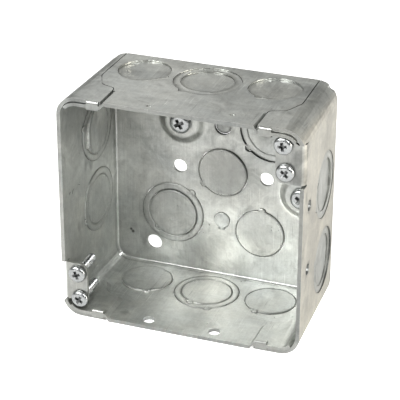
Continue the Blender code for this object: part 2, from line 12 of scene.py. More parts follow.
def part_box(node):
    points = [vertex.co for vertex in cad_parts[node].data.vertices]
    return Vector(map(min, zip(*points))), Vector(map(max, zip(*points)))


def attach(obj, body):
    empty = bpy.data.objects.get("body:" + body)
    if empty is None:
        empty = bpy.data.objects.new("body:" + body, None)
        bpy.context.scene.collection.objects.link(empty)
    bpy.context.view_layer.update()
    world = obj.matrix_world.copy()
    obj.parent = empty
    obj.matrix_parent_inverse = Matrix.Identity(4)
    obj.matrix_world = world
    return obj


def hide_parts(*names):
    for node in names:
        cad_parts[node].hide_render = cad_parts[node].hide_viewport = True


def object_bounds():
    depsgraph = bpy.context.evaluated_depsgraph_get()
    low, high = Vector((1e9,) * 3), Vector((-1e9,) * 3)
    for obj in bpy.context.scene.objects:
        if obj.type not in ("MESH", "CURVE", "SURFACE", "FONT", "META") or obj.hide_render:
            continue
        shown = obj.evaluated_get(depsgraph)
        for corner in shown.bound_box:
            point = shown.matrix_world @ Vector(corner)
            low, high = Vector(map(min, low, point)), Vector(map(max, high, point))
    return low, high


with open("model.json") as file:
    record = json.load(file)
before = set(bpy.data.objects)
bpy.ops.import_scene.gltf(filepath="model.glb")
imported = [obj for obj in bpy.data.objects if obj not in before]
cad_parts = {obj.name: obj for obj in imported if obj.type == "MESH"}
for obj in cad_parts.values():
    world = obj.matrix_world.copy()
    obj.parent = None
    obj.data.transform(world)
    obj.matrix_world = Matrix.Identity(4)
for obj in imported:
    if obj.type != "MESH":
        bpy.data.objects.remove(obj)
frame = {"nodes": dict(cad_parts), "record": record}
cad_low, cad_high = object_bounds()

MM = 0.001
NODES = frame["nodes"]
BODIES = frame["record"]["behaviour"]["bodies"]
BODY_OF = {node: body for body, members in BODIES.items() for node in members}


# ---------------------------------------------------------------- materials
class Graph:
    """Small helper to build a node tree."""

    def __init__(self, name):
        self.material = bpy.data.materials.new(name)
        self.material.use_nodes = True
        self.tree = self.material.node_tree
        self.shader = self.tree.nodes["Principled BSDF"]

    def add(self, kind, **settings):
        node = self.tree.nodes.new(kind)
        for key, value in settings.items():
            setattr(node, key, value)
        return node

    def put(self, socket, value):
        if isinstance(value, bpy.types.NodeSocket):
            self.tree.links.new(value, socket)
        else:
            socket.default_value = value

    def place(self, scale=(1, 1, 1), shift=(0, 0, 0), turn=(0, 0, 0)):
        """The place on the object, in metres, then scaled, turned and shifted."""
        coordinates = self.add("ShaderNodeTexCoord")
        mapping = self.add("ShaderNodeMapping")
        self.put(mapping.inputs["Vector"], coordinates.outputs["Object"])
        self.put(mapping.inputs["Scale"], scale)
        self.put(mapping.inputs["Location"], shift)
        self.put(mapping.inputs["Rotation"], turn)
        return mapping.outputs["Vector"]

    def noise(self, vector, scale, detail=3.0, roughness=0.55, distortion=0.0):
        node = self.add("ShaderNodeTexNoise")
        self.put(node.inputs["Vector"], vector)
        self.put(node.inputs["Scale"], scale)
        self.put(node.inputs["Detail"], detail)
        self.put(node.inputs["Roughness"], roughness)
        self.put(node.inputs["Distortion"], distortion)
        return node.outputs["Fac"]

    def spread(self, value, low, high, out_low=0.0, out_high=1.0):
        """Stretch a range to another one and stop at its ends."""
        node = self.add("ShaderNodeMapRange")
        self.put(node.inputs["Value"], value)
        self.put(node.inputs["From Min"], low)
        self.put(node.inputs["From Max"], high)
        self.put(node.inputs["To Min"], out_low)
        self.put(node.inputs["To Max"], out_high)
        return node.outputs["Result"]

    def math(self, operation, first, second=0.0):
        node = self.add("ShaderNodeMath", operation=operation)
        self.put(node.inputs[0], first)
        self.put(node.inputs[1], second)
        return node.outputs["Value"]

    def blend(self, factor, first, second):
        """A mix of two colours."""
        node = self.add("ShaderNodeMix", data_type="RGBA")
        self.put(node.inputs["Factor"], factor)
        for socket in node.inputs:
            if socket.type == "RGBA":
                self.put(socket, first if socket.name == "A" else second)
        return next(socket for socket in node.outputs if socket.type == "RGBA")

    def bump(self, height, distance, strength=1.0, normal=None):
        node = self.add("ShaderNodeBump")
        self.put(node.inputs["Height"], height)
        self.put(node.inputs["Distance"], distance)
        self.put(node.inputs["Strength"], strength)
        if normal is not None:
            self.put(node.inputs["Normal"], normal)
        return node.outputs["Normal"]

    def axes(self, vector):
        node = self.add("ShaderNodeSeparateXYZ")
        self.put(node.inputs[0], vector)
        return node.outputs["X"], node.outputs["Y"], node.outputs["Z"]

    def distance(self, vector, point):
        node = self.add("ShaderNodeVectorMath", operation="DISTANCE")
        self.put(node.inputs[0], vector)
        self.put(node.inputs[1], point)
        return node.outputs["Value"]

    def segment(self, vector, first, second):
        """Distance to a straight line between two points."""
        first, second = Vector(first), Vector(second)
        along = second - first
        arm = self.add("ShaderNodeVectorMath", operation="SUBTRACT")
        self.put(arm.inputs[0], vector)
        self.put(arm.inputs[1], first)
        dot = self.add("ShaderNodeVectorMath", operation="DOT_PRODUCT")
        self.put(dot.inputs[0], arm.outputs["Vector"])
        self.put(dot.inputs[1], along / along.length_squared)
        foot = self.tint(self.spread(dot.outputs["Value"], 0.0, 1.0), along)
        return self.distance(arm.outputs["Vector"], foot)

    def total(self, values, operation="ADD"):
        """All the values added up, or joined by another operation."""
        answer = values[0]
        for value in values[1:]:
            answer = self.math(operation, answer, value)
        return answer

    def tint(self, value, colour):
        """A colour made brighter or darker by a number."""
        node = self.add("ShaderNodeVectorMath", operation="SCALE")
        self.put(node.inputs[0], colour)
        self.put(node.inputs["Scale"], value)
        return node.outputs["Vector"]

    def hollow(self, reach):
        """How open the place is: 1 in the open, 0 deep in a hollow."""
        node = self.add("ShaderNodeAmbientOcclusion", samples=6)
        self.put(node.inputs["Distance"], reach)
        return node.outputs["AO"]

    def edge_agreement(self, radius):
        """1 on a flat face, less near a sharp edge."""
        soft = self.add("ShaderNodeBevel", samples=4)
        self.put(soft.inputs["Radius"], radius)
        face = self.add("ShaderNodeNewGeometry")
        agree = self.add("ShaderNodeVectorMath", operation="DOT_PRODUCT")
        self.put(agree.inputs[0], soft.outputs["Normal"])
        self.put(agree.inputs[1], face.outputs["Normal"])
        return agree.outputs["Value"]

    def band(self, value, start, full, fade, end):
        """1 between full and fade, falling to 0 at start and at end."""
        return self.math("MULTIPLY", self.spread(value, start, full), self.spread(value, fade, end, 1.0, 0.0))


# Patches on the sheet: stains, painted shade, and painted highlights where the last number is below zero;
# place in the box (mm), radius (mm) and how much darker it is
STAIN_AND_LIGHT_PATCHES = (
    ((25.0, 25.0, 80.0), 15.0, 0.34),
    ((-17.0, 25.0, 88.0), 14.0, 0.18),
    ((-38.0, 25.0, 70.0), 26.0, 0.26),
    ((-48.0, -12.0, 84.0), 22.0, 0.30),
    ((4.0, 25.0, 50.0), 21.0, 0.36),
    ((4.0, 25.0, 74.0), 13.0, 0.14),
    ((0.6, 25.0, 71.6), 5.5, 0.40),
    ((18.0, 25.0, 69.5), 5.5, 0.30),
    ((4.5, 25.0, 32.0), 4.0, -0.30),
    ((-26.0, -20.0, 1.6), 3.0, 0.35),
    ((50.6, -16.6, 63.7), 3.8, 0.75),
    ((50.6, -16.6, 35.3), 3.8, 0.75),
    ((48.3, -25.0, 86.0), 5.5, 0.35),
    ((48.3, -25.0, 79.0), 5.5, 0.35),
    ((-41.6, 25.4, 16.0), 0.9, 0.75),
    ((-40.7, 25.4, 15.0), 1.1, 0.80),
    ((-8.0, 25.0, 14.0), 15.0, 0.38),
    ((-14.0, 25.0, 7.0), 12.0, 0.34),
    ((10.0, 25.0, 8.0), 9.0, 0.24),
    ((17.8, 25.0, 24.0), 13.0, 0.16),
    ((-1.0, 8.0, 1.0), 12.0, -0.30),
    ((22.0, 25.0, 10.0), 9.0, 0.08),
    ((36.0, 25.0, 27.0), 9.0, 0.10),
    ((38.0, 25.0, 62.0), 15.0, 0.12),
    ((-49.6, 22.0, 45.0), 16.0, -0.10),
    ((-34.0, -12.0, 1.0), 16.0, 0.18),
    ((2.0, -16.0, 1.0), 15.0, 0.20),
    ((30.0, -18.0, 1.0), 12.0, 0.08),
    ((16.0, 14.0, 1.0), 6.0, 0.16),
    ((46.0, 10.0, 99.0), 14.0, 0.22),
    ((-44.0, 10.0, 99.0), 16.0, 0.20),
    ((12.0, -2.0, 99.0), 16.0, 0.12),
    ((-14.0, 4.0, 99.0), 9.0, 0.10),
    ((50.0, -5.0, 20.0), 18.0, 0.14),
    ((50.0, 12.0, 80.0), 14.0, 0.16),
)

# Places on the box where painted shade and painted highlights change its tone
HOOK_INNER, HOOK_OUTER = 33.0 * MM, 38.3 * MM
PUNCH_GAP, HOLE_WALL = 0.3 * MM, 0.04 * MM
PANEL_UNDER, PANEL_OVER = 96.5 * MM, 97.2 * MM
RIM_DEPTH = -25.6 * MM
EAR_DEPTH = -23.5 * MM
FACING_FRONT = -0.8
BOSS_MIDDLE, BOSS_SHOULDER = (36.4 * MM, 24.0 * MM, 45.6 * MM), 9.6 * MM  # shoulder of the right boss, where a painted highlight is laid
FOLD_HIGHLIGHT = (23.9 * MM, 24.3 * MM, 24.9 * MM, 25.3 * MM)  # depth of the painted highlight lines along the back's folds
# depth of the painted shade lines beside the highlight lines
FOLD_SHADE = (22.6 * MM, 23.2 * MM, 23.7 * MM, 24.0 * MM)
FLOOR_TOP, SIDE_INNER = 3.6 * MM, 46.4 * MM

# Edge of the dip in the bottom panel where the right tongue wraps under it; painted shade runs along it
CREASE_MM = ((34.5, -9.0, 2.2), (38.0, -8.0, 2.6), (40.0, -5.6, 2.8), (41.4, 0.5, 3.0))
CREASE = [Vector(point) * MM for point in CREASE_MM]


def punched_rings():
    """Centre and radii of the punched outlines, along which shade is painted."""
    rings = {}
    for node in SEATS:
        blank = Blank(node)
        middle = blank.point(0.0, 0.0, (blank.top + blank.bottom) / 2)
        key = tuple(round(value, 4) for value in middle)
        rings.setdefault(key, []).append(blank.radius)
    return rings


def swing(g, value, amount):
    """A pattern made into a change of tone, as much down as up."""
    return g.spread(value, 0.3, 0.7, -amount, amount)


# Patterns in the zinc coat: scale, detail, roughness and distortion
CLOUD = (34.0, 4.0, 0.6, 0.7)
PATCH = (110.0, 5.0, 0.65, 1.0)
MOTTLE = (380.0, 4.0, 0.6, 0.3)
GRAIN = (1500.0, 3.0, 0.6)
DRAWN = (1.0, 4.0, 0.65)
DRAWN_UP, DRAWN_OVER = (1100.0, 40.0, 40.0), (40.0, 1100.0, 60.0)
SCRATCH_LINES, SCRATCH_STRETCH = (1.0, 2.0, 0.5), (1900.0, 50.0, 50.0)
# Scratches: the way they run and how much brighter or darker they are
SCRATCHES = (((0.0, 0.5, 0.3), 0.28), ((0.4, -0.7, 0.0), -0.30), ((0.2, 0.15, -0.8), 0.22))
# Waves in the sheet, from long and shallow to short: scale, detail, roughness and distortion, then height
WAVES = (((20.0, 2.0, 0.5), 2.0 * MM), ((62.0, 3.0, 0.5, 0.4), 0.60 * MM))
# Tints of the zinc, and a painted warm light for the right wall's outer face
COOL, FAINTLY_WARM, WARM_PAINTED_LIGHT = (0.97, 1.0, 0.975, 1.0), (0.99, 1.0, 0.95, 1.0), (1.03, 1.0, 0.90, 1.0)


def scratched(g, value, place, shift):
    """Long thin marks in a few directions, only in some places."""
    for turn, lift in SCRATCHES:
        lines = g.noise(g.place(SCRATCH_STRETCH, shift, turn), *SCRATCH_LINES)
        field = g.spread(g.noise(place, 60.0 + 10 * lift, 2.0), 0.52, 0.62)
        value = g.math("ADD", value, g.math("MULTIPLY", field, g.spread(lines, 0.63, 0.69, 0.0, lift)))
    return value


def stains_and_painted_light(g, value, here, patch):
    """Stains, painted shade and painted highlights, each a patch with a ragged edge."""
    ragged = g.spread(patch, 0.25, 0.75, -0.35, 0.35)
    for point, radius, depth in STAIN_AND_LIGHT_PATCHES:
        away = g.distance(here, tuple(c * MM for c in point))
        reach = g.math("ADD", g.math("DIVIDE", away, radius * MM), ragged)
        value = g.math("MULTIPLY", value, g.spread(reach, 0.35, 1.0, 1.0 - depth, 1.0))
    return value


def punched_gap(g, here):
    """Distance to the nearest punched outline."""
    gaps = []
    for middle, edges in RINGS.items():
        away = g.distance(here, middle)
        gaps += [g.math("ABSOLUTE", g.math("SUBTRACT", away, edge)) for edge in edges]
    return g.total(gaps, "MINIMUM")


def hole_walls(g, value, nearest, height):
    """The sheared walls of the punched holes: a painted highlight on them in the top panel, painted shade
    below it.
    """
    wall = g.math("LESS_THAN", g.math("ABSOLUTE", g.math("SUBTRACT", nearest, PUNCH_GAP)), HOLE_WALL)
    lift = g.spread(height, PANEL_UNDER, PANEL_OVER, -0.3, 0.5)
    return g.math("ADD", value, g.math("MULTIPLY", wall, lift))


def body_edges(g, value, here, facing_y):
    """Painted shade on the rim, hooks, ears and crease, a painted highlight on the pressed shoulder and
    painted highlight and shade lines along the folds of the box itself.
    """
    x, y, z = g.axes(here)
    across = g.math("ABSOLUTE", x)
    to_front = g.math("LESS_THAN", facing_y, FACING_FRONT)
    # painted shade on the cut edge of the rim and the ears, which turn away from the light; less of it on the
    # low and the left part of the rim, painted as lit
    past_inner = g.math("GREATER_THAN", across, HOOK_INNER)
    hook = g.math("MULTIPLY", past_inner, g.math("LESS_THAN", across, HOOK_OUTER))
    rim = g.math("MULTIPLY", g.math("LESS_THAN", y, RIM_DEPTH), to_front)
    rim = g.math("MULTIPLY", rim, g.spread(hook, 0.0, 1.0, 0.48, 0.40))
    low_rim, left_rim = g.spread(z, 5.0 * MM, 12.0 * MM, 1.0, 0.0), g.spread(x, -45.0 * MM, -48.0 * MM)
    rim = g.math("MULTIPLY", rim, g.spread(g.math("MAXIMUM", low_rim, left_rim), 0.0, 1.0, 1.0, 0.25))
    # painted highlight round the shoulder of the right boss
    shoulder = g.math("ABSOLUTE", g.math("SUBTRACT", g.distance(here, BOSS_MIDDLE), BOSS_SHOULDER))
    value = g.math("ADD", value, g.spread(shoulder, 0.6 * MM, 2.6 * MM, 0.42, 0.0))
    ear = g.math("MULTIPLY", g.math("LESS_THAN", y, EAR_DEPTH), to_front)
    shade = g.math("MAXIMUM", rim, g.math("MULTIPLY", ear, 0.30))
    value = g.math("MULTIPLY", value, g.math("SUBTRACT", 1.0, shade))
    # painted highlight and painted shade: a bright and a dull line along each fold of the back
    floor_part = g.math("LESS_THAN", z, FLOOR_TOP)
    folded = g.math("MAXIMUM", floor_part, g.math("GREATER_THAN", across, SIDE_INNER))
    bright = g.math("MULTIPLY", g.band(y, *FOLD_HIGHLIGHT), g.spread(floor_part, 0.0, 1.0, 0.03, 0.15))
    fold = g.math("SUBTRACT", bright, g.math("MULTIPLY", g.band(y, *FOLD_SHADE), 0.20))
    value = g.math("ADD", value, g.math("MULTIPLY", fold, folded))
    # painted shade along the crease
    creases = [g.segment(here, first, second) for first, second in zip(CREASE, CREASE[1:])]
    crease = g.spread(g.total(creases, "MINIMUM"), 0.15 * MM, 0.65 * MM, 0.20, 0.0)
    return g.math("SUBTRACT", value, crease)


def galvanised(name, seed, tone=0.60, body=False):
    """Drawn and punched zinc-coated sheet with stains and scratches, and with painted shade and painted
    highlights; the box itself has further painted shade and highlights at its edges and folds, and a painted
    warm light on its right side.
    """
    g = Graph(name)
    rng = random.Random(seed)
    shift = tuple(rng.uniform(-1, 1) for _ in range(3))
    here = g.place()
    place = g.place(shift=shift)
    cloud, patch, mottle, grain = (g.noise(place, *pattern) for pattern in (CLOUD, PATCH, MOTTLE, GRAIN))
    drawn_up, drawn_over = (g.noise(g.place(way, shift), *DRAWN) for way in (DRAWN_UP, DRAWN_OVER))
    patterns = ((patch, 0.13), (mottle, 0.08), (grain, 0.06), (drawn_up, 0.07), (drawn_over, 0.05))
    value = g.total([g.spread(cloud, 0.3, 0.7, 0.91, 1.09)] + [swing(g, *pattern) for pattern in patterns])
    value = scratched(g, value, place, shift)
    value = stains_and_painted_light(g, value, here, patch)
    nearest = punched_gap(g, here)
    # painted shade along the punched outlines, broken up by the patch pattern
    ragged_gap_shade = g.spread(patch, 0.35, 0.65, 0.0, 0.34)
    gap_shade = g.math("MULTIPLY", g.spread(nearest, 0.2 * MM, 1.2 * MM, 1.0, 0.0), ragged_gap_shade)
    value = g.math("MULTIPLY", value, g.math("SUBTRACT", 1.0, gap_shade))
    x, _, height = g.axes(here)
    if body:
        value = hole_walls(g, value, nearest, height)
    # painted shade: darker in hollows
    value = g.math("MULTIPLY", value, g.spread(g.hollow(5.0 * MM), 0.25, 0.85, 0.66, 1.0))
    # sharp edges lighter: rubbed zinc and a painted highlight
    worn_edge_glint = g.spread(g.edge_agreement(0.45 * MM), 0.90, 0.995, 1.0, 0.0)
    value = g.math("ADD", value, g.math("MULTIPLY", worn_edge_glint, g.spread(mottle, 0.3, 0.6, 0.0, 0.30)))
    colour = g.blend(g.spread(cloud, 0.35, 0.65), COOL, FAINTLY_WARM)
    if body:
        facing_x, facing_y, _ = g.axes(g.add("ShaderNodeTexCoord").outputs["Normal"])
        value = body_edges(g, value, here, facing_y)
        # painted warm light on the outer face of the right wall
        warm_lit_side = g.math("MULTIPLY", g.spread(facing_x, 0.5, 0.9), g.spread(x, 48.0 * MM, 50.0 * MM))
        colour = g.blend(warm_lit_side, colour, WARM_PAINTED_LIGHT)
    g.put(g.shader.inputs["Base Color"], g.tint(g.math("MULTIPLY", value, tone), colour))
    g.put(g.shader.inputs["Metallic"], 0.9)
    rough = (g.spread(patch, 0.3, 0.7, 0.28, 0.46), swing(g, drawn_up, 0.03), g.spread(worn_edge_glint, 0, 1, 0, -0.06))
    g.put(g.shader.inputs["Roughness"], g.total(rough))
    normal = None
    for pattern, height in WAVES:
        normal = g.bump(g.noise(place, *pattern), height, 1.0, normal)
    normal = g.bump(patch, 0.15 * MM, 1.0, normal)
    normal = g.bump(g.math("ADD", grain, drawn_up), 0.010 * MM, 1.0, normal)
    g.put(g.shader.inputs["Normal"], normal)
    return g.material


def sheared(name, seed):
    """The torn and burnished band round a punched blank, painted bright as a highlight."""
    g = Graph(name)
    place = g.place(shift=(0, seed * 0.1, 0))
    torn = g.noise(place, 700.0, 3.0, 0.6)
    g.put(g.shader.inputs["Base Color"], g.tint(g.spread(torn, 0.3, 0.7, 0.70, 1.0), (0.98, 1.0, 0.95)))
    g.put(g.shader.inputs["Metallic"], 0.45)
    g.put(g.shader.inputs["Roughness"], g.spread(torn, 0.3, 0.7, 0.35, 0.5))
    g.put(g.shader.inputs["Normal"], g.bump(torn, 0.04 * MM))
    return g.material


def zinc(name, seed, tone=0.54, rough=0.24):
    """Bright zinc plate, with painted shade in hollows."""
    g = Graph(name)
    place = g.place(shift=(seed * 0.1, 0, 0))
    grain = g.noise(place, 900.0, 3.0, 0.6)
    blotch = g.noise(place, 260.0, 3.0, 0.6, 0.8)
    value = g.total([g.spread(grain, 0.3, 0.7, 0.88, 1.06), swing(g, blotch, 0.14)])
    # painted shade: darker in hollows
    value = g.math("MULTIPLY", value, g.spread(g.hollow(2.0 * MM), 0.3, 0.9, 0.4, 1.0))
    g.put(g.shader.inputs["Base Color"], g.tint(g.math("MULTIPLY", value, tone), (0.97, 1.0, 1.01)))
    g.put(g.shader.inputs["Metallic"], 1.0)
    g.put(g.shader.inputs["Roughness"], g.spread(blotch, 0.3, 0.7, rough - 0.06, rough + 0.08))
    normal = g.bump(blotch, 0.03 * MM)
    g.put(g.shader.inputs["Normal"], g.bump(grain, 0.015 * MM, 0.6, normal))
    return g.material


# ---------------------------------------------------------------- mesh helpers
def add_object(name, mesh, *materials):
    thing = bpy.data.objects.new(name, mesh)
    bpy.context.scene.collection.objects.link(thing)
    for material in materials:
        mesh.materials.append(material)
    return thing


def smooth(mesh, angle=35):
    mesh.shade_smooth()
    mesh.set_sharp_from_angle(angle=math.radians(angle))


def round_edges(thing, width, segments=2, limit=40):
    edge = thing.modifiers.new("edge", "BEVEL")
    edge.width = width
    edge.segments = segments
    edge.limit_method = "ANGLE"
    edge.angle_limit = math.radians(limit)


def stand_for(thing, node):
    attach(thing, BODY_OF[node])
    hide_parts(node)
    return thing


def cleaned(node):
    """The node's mesh with its split corners joined and its flat faces whole."""
    shape = bmesh.new()
    shape.from_mesh(NODES[node].data)
    bmesh.ops.remove_doubles(shape, verts=shape.verts, dist=0.001 * MM)
    bmesh.ops.dissolve_limit(shape, angle_limit=math.radians(0.5), verts=shape.verts, edges=shape.edges)
    return shape


# ---------------------------------------------------------------- knockout blanks
ROUND = 160
TURNS = np.arange(ROUND) * math.tau / ROUND
BOX_CENTRE = (cad_low + cad_high) / 2
GROW = 0.13 * MM


def circle_centre(points):
    """Middle of the round part of an outline, with the tie's lobe left out."""
    kept = points
    for _ in range(3):
        rows = np.column_stack([2 * kept, np.ones(len(kept))])
        answer = np.linalg.lstsq(rows, (kept**2).sum(1), rcond=None)[0]
        centre = answer[:2]
        radius = math.sqrt(answer[2] + (centre**2).sum())
        away = np.abs(np.linalg.norm(points - centre, axis=1) - radius)
        kept = points[away <= max(0.15 * MM, np.percentile(away, 60))]
    return centre


def radii(points, centre):
    """Distance from the centre to the outline, for each of the evenly spaced directions."""
    arms = points - centre
    arms = arms[np.argsort(np.arctan2(arms[:, 1], arms[:, 0]))]
    steps = np.linspace(0, 1, 12, endpoint=False)[None, :, None]
    dense = (arms[:, None] * (1 - steps) + np.roll(arms, -1, axis=0)[:, None] * steps).reshape(-1, 2)
    angles = np.arctan2(dense[:, 1], dense[:, 0])
    return np.interp(TURNS, angles, np.linalg.norm(dense, axis=1), period=math.tau)


def side_loops(shape, normal):
    """The corners of each band of side faces: one band for a disc, two for a ring."""
    sides = {face for face in shape.faces if abs(face.normal.dot(normal)) < 0.1}
    loops = []
    while sides:
        queue, corners = [sides.pop()], set()
        while queue:
            face = queue.pop()
            corners.update(face.verts)
            for edge in face.edges:
                for other in edge.link_faces:
                    if other in sides:
                        sides.discard(other)
                        queue.append(other)
        loops.append([vert.co.copy() for vert in corners])
    return loops


class Blank:
    """Place, axes, thickness and edges of one knockout blank, read from its CAD node."""

    def __init__(self, node):
        shape = cleaned(node)
        self.normal = max(shape.faces, key=lambda face: face.calc_area()).normal.copy()
        low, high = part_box(node)
        if self.normal.dot(BOX_CENTRE - (low + high) / 2) < 0:
            self.normal.negate()
        self.u = Vector((0, 0, 1)).cross(self.normal)
        if self.u.length < 0.5:
            self.u = Vector((1, 0, 0))
        self.u.normalize()
        self.v = self.normal.cross(self.u)
        levels = [vert.co.dot(self.normal) for vert in shape.verts]
        self.top, self.bottom = max(levels), min(levels)
        flat = [np.array([(point.dot(self.u), point.dot(self.v)) for point in loop])
                for loop in side_loops(shape, self.normal)]
        flat.sort(key=lambda loop: -np.ptp(loop[:, 0]))
        self.middle = circle_centre(flat[0])
        self.edges = [radii(loop, self.middle) for loop in flat]
        self.radius = float(np.median(self.edges[0]))
        shape.free()

    def ties(self):
        """Directions of the lobes at which the blank is joined to its wall."""
        out = self.edges[0] - self.radius > TIE_LOBE
        if not out.any():
            return []
        weight = np.where(out, self.edges[0] - self.radius, 0.0)
        return [math.atan2((weight * np.sin(TURNS)).sum(), (weight * np.cos(TURNS)).sum())]

    def spot(self, across, up, level):
        return self.u * (self.middle[0] + across) + self.v * (self.middle[1] + up) + self.normal * level

    def point(self, radius, turn, level):
        return self.spot(radius * math.cos(turn), radius * math.sin(turn), level)


# Rolled edge of a blank, from its side up to its face: how far in and how far down (mm)
EDGE_PROFILE = ((0.0, 0.60), (0.0, 0.36), (0.07, 0.20), (0.22, 0.08), (0.50, 0.02), (0.90, 0.0))
BURR = 0.06 * MM
TIE_LOBE = 0.4 * MM
TIE_PAD_OUT, TIE_PAD_SIDE = 0.35 * MM, 1.05 * MM
NIB = Vector((0.75, 0.55, 0.30)) * MM  # half sizes: outwards, across, up


def nib(shape, blank, radius, turn, aside, level):
    """One of the two small swellings where the sheet was left joined at a tie."""
    outwards = Vector((math.cos(turn), math.sin(turn)))
    across = Vector((-outwards.y, outwards.x))
    middle = outwards * radius + across * aside
    rows = []
    for tip in (0.0, 30.0, 60.0):
        row = []
        for step in range(12):
            around = math.tau * step / 12
            lie = math.cos(math.radians(tip))
            spot = middle + outwards * (NIB.x * lie * math.cos(around))
            spot += across * (NIB.y * lie * math.sin(around))
            height = level - 0.1 * MM + (NIB.z + 0.1 * MM) * math.sin(math.radians(tip))
            row.append(shape.verts.new(blank.spot(spot.x, spot.y, height)))
        rows.append(row)
    for first, second in zip(rows, rows[1:]):
        for i in range(12):
            j = (i + 1) % 12
            shape.faces.new((first[i], first[j], second[j], second[i]))
    shape.faces.new(rows[0])
    shape.faces.new(rows[-1])


def blank_mesh(name, blank, rise, tilt, dish):
    """A sheared blank with a rolled edge inside, a burr outside and a slightly dished face."""
    shape = bmesh.new()
    outer = blank.edges[0] + GROW
    ring = len(blank.edges) > 1
    inner = blank.edges[1] - GROW if ring else None
    thick = blank.top - blank.bottom
    reach = float(outer.mean())

    def level(radius, turn, base):
        share = radius / reach
        lean = tilt.dot(blank.u * math.cos(turn) + blank.v * math.sin(turn)) * share
        return base + rise + lean + dish * (1 - min(1.0, share) ** 2)

    def row(radius_of, down, base):
        points = [blank.point(radius, turn, level(radius, turn, base + down))
                  for radius, turn in zip(radius_of, TURNS)]
        return [shape.verts.new(point) for point in points]

    roll = [(inset * MM, -down * MM) for inset, down in EDGE_PROFILE]
    rows = [row(outer - inset, drop, blank.top) for inset, drop in roll]
    if ring:
        rows += [row(inner + inset, drop, blank.top) for inset, drop in roll[::-1]]
        rows += [row(inner + 0.05 * MM, -BURR, blank.bottom), row(inner + 0.3 * MM, 0.0, blank.bottom)]
    else:
        shares = (0.94, 0.85, 0.7, 0.5, 0.3, 0.12)
        rows += [row(outer * share, 0.0, blank.top) for share in shares]
    under = [row(outer - 0.05 * MM, -BURR, blank.bottom), row(outer - 0.3 * MM, 0.0, blank.bottom)]
    if ring:
        chain = rows + [under[1], under[0]]
        pairs = list(zip(chain, chain[1:] + chain[:1]))
    else:
        lower = under + [row(outer * share, 0.0, blank.bottom) for share in (0.85, 0.5, 0.12)]
        chain = rows[::-1] + lower
        pairs = list(zip(chain, chain[1:]))
        shape.faces.new(rows[-1])
        shape.faces.new(lower[-1])
    torn = [(rows[0], rows[1]), (rows[0], under[0])]
    if ring:
        torn += [(rows[-3], rows[-4]), (rows[-3], rows[-2])]
    for first, second in pairs:
        bare = any((first is a and second is b) or (first is b and second is a) for a, b in torn)
        for i in range(ROUND):
            j = (i + 1) % ROUND
            face = shape.faces.new((first[i], first[j], second[j], second[i]))
            face.material_index = 1 if bare else 0
    for turn in blank.ties():
        reach_in = blank.radius + TIE_PAD_OUT
        for sign in (-1, 1):
            nib(shape, blank, reach_in, turn, sign * TIE_PAD_SIDE, level(reach_in, turn, blank.top))
    bmesh.ops.recalc_face_normals(shape, faces=shape.faces)
    mesh = bpy.data.meshes.new(name)
    shape.to_mesh(mesh)
    shape.free()
    smooth(mesh, 50)
    return mesh


FRONT, REAR = Vector((0, -1, 0)), Vector((0, 1, 0))
UP, DOWN, RIGHT, LEFT = Vector((0, 0, 1)), Vector((0, 0, -1)), Vector((1, 0, 0)), Vector((-1, 0, 0))
# How each blank sits in its hole, in mm: rise into the box, the way it leans, by how much, and its dish
SEATS = {
    "back_centre_slug": (0.40, UP + RIGHT, 0.30, 0.10),
    "back_lower_left_slug": (0.55, UP + RIGHT, 0.30, -0.30),
    "back_lower_left_ring": (0.15, RIGHT + DOWN, 0.35, 0.0),
    "back_lower_right_slug": (0.25, UP + RIGHT, 0.20, 0.15),
    "back_upper_right_slug": (-0.20, DOWN + LEFT, -0.10, 0.10),
    "back_upper_right_ring": (-0.30, DOWN + LEFT, -0.60, 0.0),
    "top_left_slug": (0.20, REAR + LEFT, 0.45, 0.15),
    "top_middle_slug": (0.30, REAR, 0.35, 0.15),
    "top_middle_ring": (0.05, REAR, 0.15, 0.0),
    "top_right_slug": (0.20, REAR, 0.40, 0.15),
    "bottom_left_slug": (0.36, FRONT + LEFT, 0.24, -0.15),
    "bottom_middle_slug": (0.10, FRONT + LEFT, 0.25, 0.20),
    "bottom_middle_ring": (0.00, FRONT, 0.10, 0.0),
    "bottom_right_slug": (0.05, FRONT, 0.25, 0.15),
    "left_upper_slug": (0.60, FRONT, 0.95, 0.0),
    "left_upper_ring": (0.05, FRONT, 0.25, 0.0),
    "left_lower_slug": (-0.10, REAR, 0.10, 0.10),
    "left_lower_ring": (0.05, FRONT, 0.10, 0.0),
    "right_upper_slug": (0.40, REAR, 0.50, 0.15),
    "right_upper_ring": (0.05, REAR, 0.05, 0.0),
    "right_lower_slug": (0.45, REAR, 0.50, 0.15),
    "right_lower_ring": (0.20, REAR, 0.30, 0.0),
    "upper_plug": (-0.45, UP, 0.10, 0.0),
    "lower_plug": (0.05, DOWN, 0.10, 0.10),
}
# blanks whose sheared edge gets the painted highlight
PAINTED_LIT_EDGES = {"left_upper_slug", "bottom_left_slug", "bottom_middle_slug"}
PAINTED_LIT_EDGES |= {"top_left_slug", "top_middle_slug", "top_right_slug"}
RINGS = punched_rings()
SHEET_METAL = galvanised("galvanised_sheet", 3, body=True)
BLANK_METAL = galvanised("galvanised_blank", 11, tone=0.575)
SHEARED_HIGHLIGHT = sheared("sheared_edge_highlight", 7)
ZINC = zinc("bright_zinc", 5)
# darker zinc: painted shade in the screws' cross recesses
RECESS = zinc("screw_recess_shade", 9, 0.30, 0.35)
for node, (rise, way, lean, dish) in SEATS.items():
    blank = Blank(node)
    tilt = way.normalized() * lean * MM
    mesh = blank_mesh(node, blank, rise * MM, tilt, dish * MM)
    # painted highlight on the sheared edge of the listed blanks; the others keep the blank's metal
    edge = SHEARED_HIGHLIGHT if node in PAINTED_LIT_EDGES else BLANK_METAL
    thing = add_object(node + "_blank", mesh, BLANK_METAL, edge)
    stand_for(thing, node)


